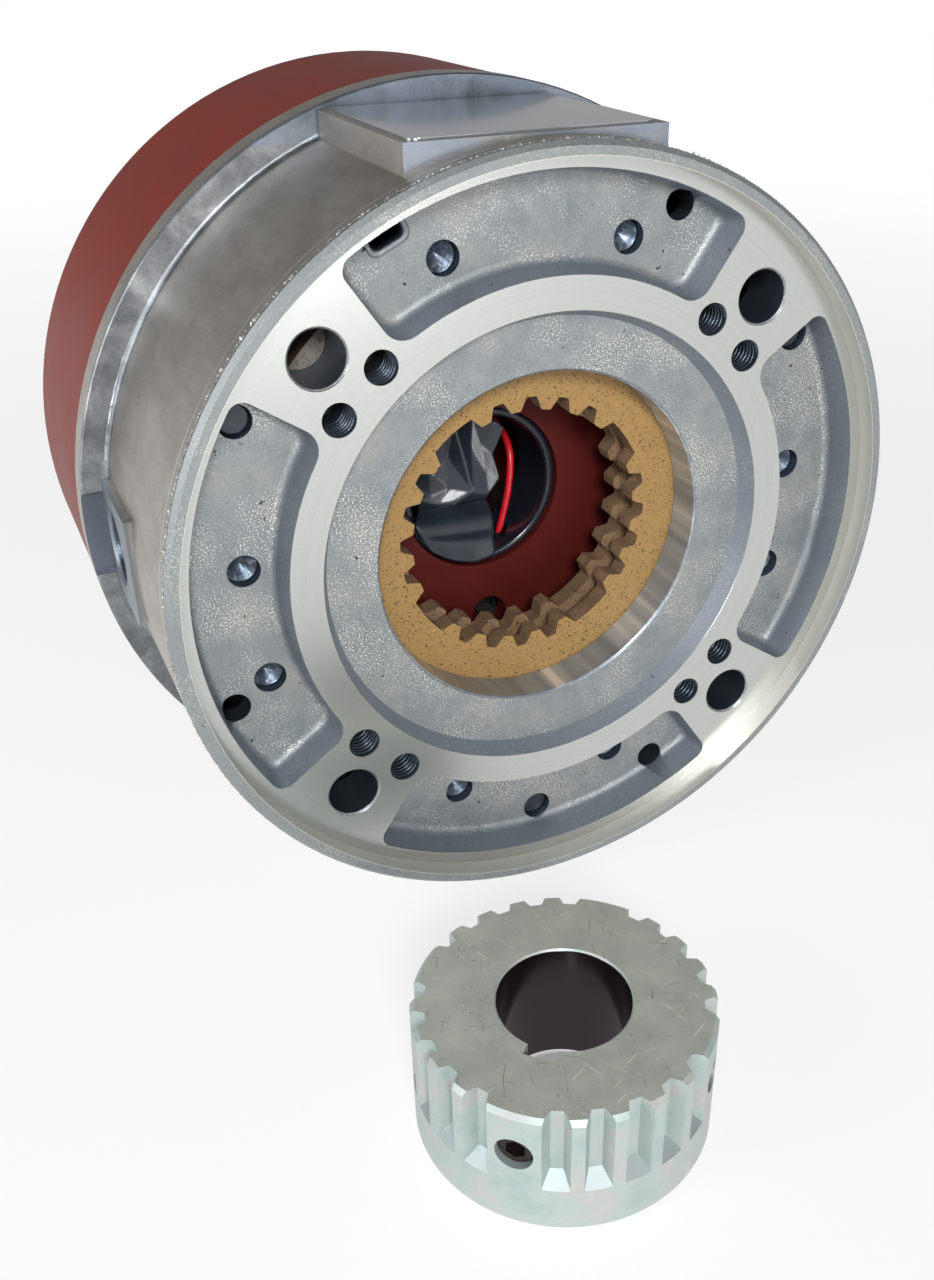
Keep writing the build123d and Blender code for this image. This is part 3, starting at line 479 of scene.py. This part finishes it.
# The slot's mouth: six rounded loops, each (half length, half width, corner, depth) in mm
mouth_loops = ((6.4, 4.4, 2.8, 10.7), (5.9, 3.9, 2.6, 10.1), (5.2, 3.2, 2.2, 10.1), (4.5, 2.5, 1.8, 11.1),
               (4.3, 2.3, 1.7, 17.2), (5.6, 3.6, 2.2, 17.4))
slot_angle = 115.0
slot_circle = 100.0
corner_steps = 7
spin = math.radians(slot_angle - 90.0)
mouth = bmesh.new()
loops = []
for half_length, half_width, corner, back in mouth_loops:
    middle = Vector(on_circle(slot_circle, slot_angle, back))
    loop = []
    for quarter, (side_x, side_z) in enumerate(((1, 1), (-1, 1), (-1, -1), (1, -1))):
        for step in range(corner_steps):
            turn = math.radians(quarter * 90 + step * 15)
            u = side_x * (half_length - corner) + corner * math.cos(turn)
            w = side_z * (half_width - corner) + corner * math.sin(turn)
            offset = Vector((u * math.cos(spin) - w * math.sin(spin), 0.0,
                             u * math.sin(spin) + w * math.cos(spin)))
            loop.append(mouth.verts.new(middle + offset / 1000))
    loops.append(loop)
for first, second in zip(loops, loops[1:] + loops[:1]):
    for i in range(len(first)):
        j = (i + 1) % len(first)
        mouth.faces.new((first[i], first[j], second[j], second[i])).smooth = True
bmesh.ops.recalc_face_normals(mouth, faces=mouth.faces)
slot_mouth = bpy.data.objects.new("slot_mouth", bpy.data.meshes.new("slot_mouth"))
mouth.to_mesh(slot_mouth.data)
mouth.free()
scene.collection.objects.link(slot_mouth)
slot_mouth.data.materials.append(cast_metal)
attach(slot_mouth, "housing")

# Flash: broken chips up to 2 mm long where the rim's chamfer meets the barrel, drawn thicker than real
# flash so that they show
flash_tree, given, result = new_tree(
    "broken_flash", Radius=("NodeSocketFloat", 0.1116), Count=("NodeSocketInt", 900),
    Chip=("NodeSocketFloat", 0.00052), Seed=("NodeSocketInt", 7), Finish=("NodeSocketMaterial", None))
rim = add_node(flash_tree, "GeometryNodeMeshCircle", {"Vertices": given["Count"], "Radius": given["Radius"]})
chip = add_node(flash_tree, "GeometryNodeMeshIcoSphere", {"Radius": given["Chip"], "Subdivisions": 1})
stretch = add_node(flash_tree, "FunctionNodeRandomValue", {0: (0.1, 0.1, 0.1), 1: (2.0, 0.9, 1.2),
                                                           "Seed": given["Seed"]}, data_type="FLOAT_VECTOR")
tumble = add_node(flash_tree, "FunctionNodeRandomValue", {0: (0.0, 0.0, 0.0), 1: (6.3, 6.3, 6.3),
                                                          "Seed": given["Seed"]}, data_type="FLOAT_VECTOR")
tumbled = add_node(flash_tree, "FunctionNodeEulerToRotation", {"Euler": tumble})
chips = add_node(flash_tree, "GeometryNodeInstanceOnPoints", {"Points": rim, "Instance": chip,
                                                              "Rotation": tumbled, "Scale": stretch})
turned_rim = add_node(flash_tree, "GeometryNodeTransform", {
    "Geometry": chips, "Translation": (0.0, -0.0035, 0.0), "Rotation": (math.pi / 2, 0.0, 0.0)})
end_tree(flash_tree, given, result, turned_rim)
# Freshly broken aluminium: bright facets 1 mm across between dull ones
broken_metal, tree, place = start_material("broken_aluminium_edge")
broken = add_node(tree, "ShaderNodeTexNoise", {"Vector": place, "Scale": 900.0, "Detail": 2.0})
finish_material(tree, Base_Color=painted(tree, "#8b8f93", (broken, "#d5d3cb")), Metallic=0.7, Roughness=0.45)
grow("rim_flash", flash_tree, "housing", "cast_aluminium", Finish=broken_metal)


# Nameplate
# A thin aluminium plate glued to the pad, with rounded corners. It is left bare: satin sheet with a
# faint grain along its length, drawn 0.6 mm apart so that it shows, where the real one is printed.
plate_metal, tree, place = start_material("satin_aluminium_sheet")
drawn = add_node(tree, "ShaderNodeMapping", {"Vector": place, "Scale": (0.12, 1.0, 1.0)})
rolled = add_node(tree, "ShaderNodeTexNoise", {"Vector": drawn, "Scale": 1600.0, "Detail": 4.0})
satin = add_node(tree, "ShaderNodeMapRange", {"Value": rolled, "To Min": 0.1, "To Max": 0.17})
rolled_bump = add_node(tree, "ShaderNodeBump", {"Strength": 0.02, "Distance": 0.00005, "Height": rolled})
finish_material(tree, Base_Color=painted(tree, "#a9afb5", (rolled, "#b7bcc0")), Metallic=0.85,
                Roughness=satin, Normal=rolled_bump)
dress(plate_metal, "nameplate")


# Friction discs
# Rings of moulded friction material with teeth cut in the bore. The faces are ochre with dark specks
# and a few bright flakes of metal; the cut teeth are brown and rougher.
shaded_track_r = (0.0525, 0.0545)
rear_disc_y = 0.028
friction, tree, place = start_material("moulded_friction_material")
depth = add_node(tree, "ShaderNodeSeparateXYZ", {"Vector": place}).outputs["Y"]
facing = add_node(tree, "ShaderNodeTexCoord").outputs["Normal"]
facing_y = add_node(tree, "ShaderNodeSeparateXYZ", {"Vector": facing}).outputs["Y"]
frontal = add_node(tree, "ShaderNodeMath", {0: facing_y}, operation="ABSOLUTE")
cut = add_node(tree, "ShaderNodeMapRange", {"Value": frontal, "From Min": 0.3, "From Max": 0.7,
                                            "To Min": 1.0, "To Max": 0.0})
# Mottling 1.4 mm across, like the fibres pressed into it, and broader patches of 7 mm on the teeth
mottle = add_node(tree, "ShaderNodeTexNoise", {"Vector": place, "Scale": 700.0, "Detail": 5.0,
                                               "Roughness": 0.7})
broad = add_node(tree, "ShaderNodeTexNoise", {"Vector": place, "Scale": 140.0, "Detail": 4.0})
# From 52.5 mm out, under the housing's web, the disc is painted grey-brown: a glazed track and painted shade.
# The rear disc, deeper in the stack, is painted brown: painted shade
glazed_and_shaded_track = add_node(tree, "ShaderNodeMapRange", {"Value": from_line(tree, place, (1.0, 0.0, 1.0)),
                                              "From Min": shaded_track_r[0], "From Max": shaded_track_r[1]})
faces = painted(tree, painted(tree, "#7d6035", (mottle, "#a5814a")),
                (glazed_and_shaded_track, painted(tree, "#5b5550", (mottle, "#8a8077"))),
                (region(tree, (depth, rear_disc_y, far)), painted(tree, "#6e563f", (mottle, "#927557"))),
                (cut, painted(tree, "#543f30", (broad, "#94775a"))))
# Dark specks 0.7 mm across and a few bright flakes of 1 mm
speck = flecks(tree, place, 0.0007, 0.615, 0.66)
flake = flecks(tree, place, 0.0011, 0.77, 0.78)
pit_bump = add_node(tree, "ShaderNodeBump", {"Strength": 0.3, "Distance": 0.0002, "Height": mottle})
finish_material(tree, Base_Color=painted(tree, faces, (speck, "#33261a"), (flake, "#f3e6c6")),
                Roughness=painted(tree, 0.62, (flake, 0.3), data_type="FLOAT"), Normal=pit_bump)
dress(friction, "front_friction_disc", "rear_friction_disc")


# Stationary disc and pressure plate
# Ground steel plates, guided by the three studs. They are dark from wear in patches 11 mm across, with
# the grinding lines of a rotary table still in them, drawn 0.5 mm apart so that they show.
worn_steel, tree, place = start_material("ground_steel_worn")
ground = add_node(tree, "ShaderNodeTexNoise", {"W": from_line(tree, place, (1.0, 0.0, 1.0)), "Scale": 2200.0,
                                               "Detail": 3.0}, noise_dimensions="1D")
worn = add_node(tree, "ShaderNodeTexNoise", {"Vector": place, "Scale": 90.0, "Detail": 6.0})
steel = add_node(tree, "ShaderNodeMix", {"Factor": 0.3, "A": painted(tree, "#5c5752", (worn, "#7b7875")),
                                         "B": ground}, data_type="RGBA", blend_type="OVERLAY")
wear = add_node(tree, "ShaderNodeMapRange", {"Value": worn, "To Min": 0.34, "To Max": 0.52})
finish_material(tree, Base_Color=steel, Metallic=0.9, Roughness=wear)
dress(worn_steel, "stationary_disc", "pressure_plate")


# Magnet body and can
# The cast iron magnet and the drawn steel can have the same red oxide paint: satin, with an orange peel
# of 1 mm and dull patches of 22 mm. The magnet's coat is painted darker: painted shade deep in the brake.
def red_oxide(name, dark, light, shade_from_r):
    """The paint in two tones, painted near black outside a radius as painted shade."""
    material, tree, place = start_material(name)
    clouds = add_node(tree, "ShaderNodeTexNoise", {"Vector": place, "Scale": 45.0, "Detail": 5.0,
                                                   "Roughness": 0.6})
    peel = add_node(tree, "ShaderNodeTexNoise", {"Vector": place, "Scale": 900.0, "Detail": 2.0})
    sheen = add_node(tree, "ShaderNodeMapRange", {"Value": clouds, "To Min": 0.34, "To Max": 0.5})
    peel_bump = add_node(tree, "ShaderNodeBump", {"Strength": 0.12, "Distance": 0.0001, "Height": peel})
    shade_rim_mask = region(tree, (from_line(tree, place, (1.0, 0.0, 1.0)), shade_from_r, far))
    finish_material(tree, Base_Color=painted(tree, dark, (clouds, light), (shade_rim_mask, "#221c1b")),
                    Specular_IOR_Level=0.1, Roughness=sheen, Normal=peel_bump)
    return material


# Outside 94 mm the magnet is painted near black: painted shade where it shows through the housing's holes
outside_plates = 0.094
dress(red_oxide("red_oxide_paint", "#63190f", "#822c1b", far), "can_cover")
# The magnet is painted darker than the can: painted shade
dress(red_oxide("red_oxide_paint_painted_shade", "#451412", "#551e1b", outside_plates), "magnet_body")


# Coil
# The magnet's winding of copper wire, potted in its slot. The resin is dark brown and slightly glossy,
# with ripples 4 mm across from casting.
resin, tree, place = start_material("potting_resin")
ripple = add_node(tree, "ShaderNodeTexNoise", {"Vector": place, "Scale": 260.0, "Detail": 3.0})
ripple_bump = add_node(tree, "ShaderNodeBump", {"Strength": 0.2, "Distance": 0.0002, "Height": ripple})
finish_material(tree, Base_Color=painted(tree, "#1e1713", (ripple, "#33271f")), Roughness=0.35,
                Normal=ripple_bump)
dress(resin, "magnet_coil")


# Springs
# Three coils of drawn spring wire, 1.4 mm thick, between the magnet's pockets and the pressure plate. They
# are bright but darker than plating, with draw marks 1 mm long, and shorten as the plate is pulled in.
spring_tree, given, result = new_tree(
    "coil_spring", Radius=("NodeSocketFloat", 0.0036), Wire=("NodeSocketFloat", 0.0007),
    Length=("NodeSocketFloat", 0.0146), Turns=("NodeSocketFloat", 5.0), Finish=("NodeSocketMaterial", None))
helix = add_node(spring_tree, "GeometryNodeCurveSpiral", {
    "Resolution": 28, "Rotations": given["Turns"], "Start Radius": given["Radius"],
    "End Radius": given["Radius"], "Height": given["Length"]})
wire = add_node(spring_tree, "GeometryNodeCurvePrimitiveCircle", {"Resolution": 10, "Radius": given["Wire"]})
coiled = add_node(spring_tree, "GeometryNodeCurveToMesh", {"Curve": helix, "Profile Curve": wire,
                                                           "Fill Caps": True})
end_tree(spring_tree, given, result, stamp(spring_tree, given, coiled, into_brake))
spring_wire, tree, place = start_material("drawn_spring_wire")
draw_marks = add_node(tree, "ShaderNodeTexNoise", {"Vector": place, "Scale": 900.0, "Detail": 3.0})
finish_material(tree, Base_Color=painted(tree, "#83817e", (draw_marks, "#a9a7a3")), Metallic=1.0,
                Roughness=0.32)
spring_circle = 83.5
wire_r = 0.7
spring_front, spring_back = [corner[1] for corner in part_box("pressure_springs")]
spring_starts = [on_circle(spring_circle, angle, spring_front * 1000 + wire_r) for angle in (90, 210, 330)]
coil_springs = grow("coil_springs", spring_tree, "housing", "spring_steel", spring_starts, Finish=spring_wire)
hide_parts("pressure_springs")
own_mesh(coil_springs)


# Studs, nuts, washers, posts and cover screws
# Steel turned from bar: the nuts clamp the magnet to its studs, and the screws hold the can on its posts.
# All are zinc plated: pale, clouded in patches of 5 mm, with a faint blue and yellow passivation.
zinc, tree, place = start_material("zinc_plated_steel")
cloud = add_node(tree, "ShaderNodeTexNoise", {"Vector": place, "Scale": 220.0, "Detail": 5.0,
                                              "Roughness": 0.6})
plated = add_node(tree, "ShaderNodeValToRGB", {"Fac": cloud}, stops=((0.3, "#9aa3a4"), (0.7, "#c4c6bd")))
cloudy = add_node(tree, "ShaderNodeMapRange", {"Value": cloud, "To Min": 0.26, "To Max": 0.42})
finish_material(tree, Base_Color=plated, Metallic=0.95, Roughness=cloudy)
dress(zinc, "stud_nuts", "stud_washers", "cover_posts", "cover_screws")


# Guide studs
# Three hardened steel studs, screwed into the housing, that guide the plates and carry the magnet. They
# are painted dark, with blotches 2 mm across: painted shade of the holes in which their ends show.
dark_stud_steel, tree, place = start_material("stud_steel_painted_shade")
stud_blotches = add_node(tree, "ShaderNodeTexNoise", {"Vector": place, "Scale": 420.0, "Detail": 4.0})
finish_material(tree, Base_Color=painted(tree, "#2a2d31", (stud_blotches, "#4a4f55")), Metallic=0.6, Roughness=0.42)
dress(dark_stud_steel, "torque_studs")


# Centre sleeve
# A black nylon ring pressed into the magnet's centre hole. It is moulded: glossy, with a rounded front
# edge and faint moulding marks 2 mm across.
black_moulding, tree, place = start_material("black_nylon_moulding")
marks = add_node(tree, "ShaderNodeTexNoise", {"Vector": place, "Scale": 500.0, "Detail": 3.0})
marks_bump = add_node(tree, "ShaderNodeBump", {"Strength": 0.06, "Distance": 0.0001, "Height": marks})
finish_material(tree, Base_Color=painted(tree, "#14161c", (marks, "#232631")), Roughness=0.2,
                Normal=marks_bump)
dress(black_moulding, "centre_sleeve")


# Lead grommet
# Moulded black rubber, pushed into the hole in the inner pole where the leads come out. It is matt, with
# dust in spots 2 mm across.
rubber, tree, place = start_material("black_rubber")
dust = add_node(tree, "ShaderNodeTexNoise", {"Vector": place, "Scale": 600.0, "Detail": 4.0})
finish_material(tree, Base_Color=painted(tree, "#171717", (dust, "#2c2b2a")), Roughness=0.75)
dress(rubber, "lead_grommet")


# Lead wires
# The two coil leads have glossy red plastic insulation, extruded, with waves 2.5 mm long in its thickness.
# Where they pass through the pole, more than 24 mm from the axis, they are painted near black: painted shade
# where they show through the hole.
lead_shade_from = 0.024
red_insulation, tree, place = start_material("red_wire_insulation")
waves = add_node(tree, "ShaderNodeTexNoise", {"Vector": place, "Scale": 400.0, "Detail": 2.0})
shaded_lead_mask = region(tree, (from_line(tree, place, (1.0, 0.0, 1.0)), lead_shade_from, far))
waves_bump = add_node(tree, "ShaderNodeBump", {"Strength": 0.1, "Distance": 0.0001, "Height": waves})
finish_material(tree, Base_Color=painted(tree, "#ad0f1b", (waves, "#cb1d2a"), (shaded_lead_mask, "#17191e")),
                Roughness=0.28, Normal=waves_bump)
dress(red_insulation, "lead_wires")


# Insulating film
# A square of dark plastic film, crumpled by hand and pushed into the sleeve beside the leads. It has
# sharp folds that meet at a point, a rolled bulge under them and a flatter flap below.
film_points = (
    (-21.0, 3.0, 56.5), (-16.8, 13.8, 57.0), (-11.5, 18.6, 58.5), (-6.4, 20.6, 57.0), (1.2, 21.0, 60.0),
    (7.6, 20.0, 57.0), (10.6, 17.0, 56.5), (-14.0, 5.0, 60.0), (-8.0, 9.0, 59.5), (-3.8, 9.5, 56.0),
    (-0.4, 11.5, 58.5), (3.4, 12.0, 58.0), (6.8, 8.4, 57.0), (-1.6, -2.1, 54.5), (3.6, 3.2, 56.0),
    (8.3, 0.7, 55.0), (-8.5, -0.8, 57.5), (-15.5, -2.6, 57.5), (-19.6, -2.6, 58.0), (3.9, -4.3, 54.6),
    (-1.0, -6.6, 56.5), (-7.5, -5.2, 55.2), (-13.5, -5.6, 57.0), (-0.9, -12.4, 59.5), (-8.0, -13.6, 59.0),
    (-14.0, -13.2, 58.8), (-18.2, -11.8, 59.0))
film_faces = (
    (0, 1, 7), (1, 2, 7), (2, 8, 7), (2, 3, 8), (3, 9, 8), (3, 4, 10), (3, 10, 9), (4, 5, 11), (4, 11, 10),
    (5, 6, 12), (5, 12, 11), (8, 9, 13), (9, 10, 13), (10, 11, 14), (10, 14, 13), (11, 12, 14), (12, 15, 14),
    (7, 8, 16), (8, 13, 16), (0, 7, 17), (7, 16, 17), (0, 17, 18), (13, 14, 19), (14, 15, 19), (13, 19, 20),
    (13, 20, 21), (13, 21, 16), (16, 21, 22), (16, 22, 17), (17, 22, 18), (19, 23, 20), (20, 23, 24),
    (20, 24, 21), (21, 24, 25), (21, 25, 22), (22, 25, 26), (22, 26, 18))
flap_points = (
    (-20.6, -4.8, 54.5), (-13.6, -5.8, 55.6), (-6.0, -6.2, 55.6), (3.4, -5.4, 55.0),
    (-24.6, -6.8, 47.8), (-16.0, -7.6, 48.4), (-6.0, -8.0, 48.8), (2.6, -8.4, 49.0),
    (-23.6, -9.6, 47.3), (-15.5, -11.4, 47.5), (-6.0, -12.6, 47.7), (2.8, -12.6, 47.9),
    (-21.8, -12.8, 47.4), (-15.0, -14.8, 48.6), (-6.0, -16.4, 49.2), (2.9, -16.8, 49.0),
    (-19.4, -16.8, 47.2), (-12.4, -21.4, 47.3), (-4.2, -24.0, 47.3), (3.2, -22.4, 47.6))
flap_faces = tuple((first, first + 1, first + 5, first + 4) for row in range(4)
                   for first in range(row * 4, row * 4 + 3))


def folded_film(name, points, faces, softness):
    """A thin sheet through given points (across, up, depth) in mm, with its folds rounded a little."""
    mesh = bpy.data.meshes.new(name)
    mesh.from_pydata([(x / 1000, y / 1000, z / 1000) for x, z, y in points], [], faces)
    bends = bmesh.new()
    bends.from_mesh(mesh)
    bmesh.ops.recalc_face_normals(bends, faces=bends.faces)
    crease = bends.edges.layers.float.new("crease_edge")
    for edge in bends.edges:
        edge[crease] = softness
    bends.to_mesh(mesh)
    bends.free()
    sheet = bpy.data.objects.new(name, mesh)
    scene.collection.objects.link(sheet)
    smooth = sheet.modifiers.new("folds", "SUBSURF")
    smooth.levels = smooth.render_levels = 3
    wall = sheet.modifiers.new("thickness", "SOLIDIFY")
    wall.thickness = 0.00025
    for face in mesh.polygons:
        face.use_smooth = True
    return sheet


# Dark film gives a hard, narrow gleam on each fold; lighter blue-grey smears 8 mm across, partly painted
# reflection, and crinkles of 6 mm break it up
dark_film, tree, place = start_material("dark_polyester_film")
smears_and_sheen = add_node(tree, "ShaderNodeTexNoise", {"Vector": place, "Scale": 120.0, "Detail": 4.0})
crinkle = add_node(tree, "ShaderNodeTexNoise", {"Vector": place, "Scale": 180.0, "Detail": 2.0,
                                                "Distortion": 1.5})
crinkle_bump = add_node(tree, "ShaderNodeBump", {"Strength": 0.12, "Distance": 0.0005, "Height": crinkle})
finish_material(tree, Base_Color=painted(tree, "#14171c", (smears_and_sheen, "#2f3741")), Roughness=0.24,
                Specular_IOR_Level=0.5, Normal=crinkle_bump)
film_wad = folded_film("film_wad", film_points, film_faces, 0.55)
film_flap = folded_film("film_flap", flap_points, flap_faces, 0.3)
for piece in (film_wad, film_flap):
    piece.data.materials.append(dark_film)
    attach(piece, "housing")
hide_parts("lead_sleeve")


# Hub
# A steel hub with the discs' spline cut round it, a keyed bore and two set screw holes, zinc plated.
# The plating is pale, blue-green and clouded in patches of 9 mm, scratched by handling; the bore is bare
# steel, painted dark purple-grey: partly a painted reflection.
reamed_r = 0.0176
run_out_z = -0.09
hub_zinc, tree, place = start_material("zinc_plated_hub")
height = add_node(tree, "ShaderNodeSeparateXYZ", {"Vector": place}).outputs["Z"]
facing = add_node(tree, "ShaderNodeTexCoord").outputs["Normal"]
facing_up = add_node(tree, "ShaderNodeSeparateXYZ", {"Vector": facing}).outputs["Z"]
cloud = add_node(tree, "ShaderNodeTexNoise", {"Vector": place, "Scale": 110.0, "Detail": 6.0,
                                              "Roughness": 0.6})
side_plating = add_node(tree, "ShaderNodeValToRGB", {"Fac": cloud},
                        stops=((0.3, "#9cadab"), (0.5, "#abb8b4"), (0.6, "#b3b3b3"), (0.72, "#babfb4")))
# The end that faces up is painted lighter and less blue than the sides: painted light on the top
lit_top_plating = add_node(tree, "ShaderNodeValToRGB", {"Fac": cloud}, stops=((0.3, "#b0b6ae"), (0.7, "#c3c6bd")))
end = region(tree, (facing_up, 0.9, 1.1))
marked = painted(tree, 0.25, (end, 1.0), data_type="FLOAT")
# Scratches: long thin streaks in four directions, bent a little: the narrow peaks of noise 0.7 mm across
bend = add_node(tree, "ShaderNodeTexNoise", {"Vector": place, "Scale": 40.0, "Detail": 1.0}).outputs["Color"]
bent = add_node(tree, "ShaderNodeVectorMath", {0: bend, 1: (0.012, 0.012, 0.012), 2: place},
                operation="MULTIPLY_ADD")
lines = []
for turn in (0.35, 1.1, 1.9, 2.7):
    drag = add_node(tree, "ShaderNodeMapping", {"Vector": bent, "Rotation": (0.0, 0.0, turn),
                                                "Scale": (1.0, 40.0, 1.0)}, vector_type="TEXTURE")
    score = add_node(tree, "ShaderNodeTexNoise", {"Vector": drag, "Scale": 1500.0, "Detail": 1.0})
    lines.append(add_node(tree, "ShaderNodeMapRange", {"Value": score, "From Min": 0.7, "From Max": 0.76}))
scratched = add_node(tree, "ShaderNodeMath", {0: lines[0], 1: lines[2]}, operation="MAXIMUM")
scored = add_node(tree, "ShaderNodeMath", {0: lines[1], 1: lines[3]}, operation="MAXIMUM")
# The milled run-outs at the ends of the grooves, turned upward, are painted darker than the flanks: painted
# shade over the highlight they catch
run_out = region(tree, (facing_up, 0.25, 1.1), (height, -far, run_out_z))
reamed = region(tree, (from_line(tree, place, (1.0, 1.0, 0.0), (*hub_axis, 0.0)), -far, reamed_r))
plating = painted(tree, side_plating, (end, lit_top_plating), (shared(tree, scratched, 0.6, marked), "#ece7d6"),
                  (shared(tree, scored, 0.5, marked), "#63615c"), (run_out, "#949e9f"), (reamed, "#63585d"))
gloss = add_node(tree, "ShaderNodeMapRange", {"Value": cloud, "From Min": 0.3, "From Max": 0.7,
                                              "To Min": 0.42, "To Max": 0.54})
scratch_bump = add_node(tree, "ShaderNodeBump", {"Strength": 0.15, "Distance": 0.00004, "Height": scratched})
finish_material(tree, Base_Color=plating, Metallic=painted(tree, 0.45, (reamed, 1.0), data_type="FLOAT"),
                Roughness=painted(tree, gloss, (reamed, 0.2), data_type="FLOAT"), Normal=scratch_bump)
dress(hub_zinc, "hub")


# Hub set screws
# Two short alloy steel screws with hexagon sockets, which clamp the hub on its shaft. They are machined
# and blacked, and rubbed brown in spots 2 mm across.
black_oxide, tree, place = start_material("black_oxide_steel")
rub = add_node(tree, "ShaderNodeTexNoise", {"Vector": place, "Scale": 500.0, "Detail": 4.0})
finish_material(tree, Base_Color=painted(tree, "#1b1817", (rub, "#4a3f3a")), Metallic=0.8, Roughness=0.4)
dress(black_oxide, "hub_set_screws")
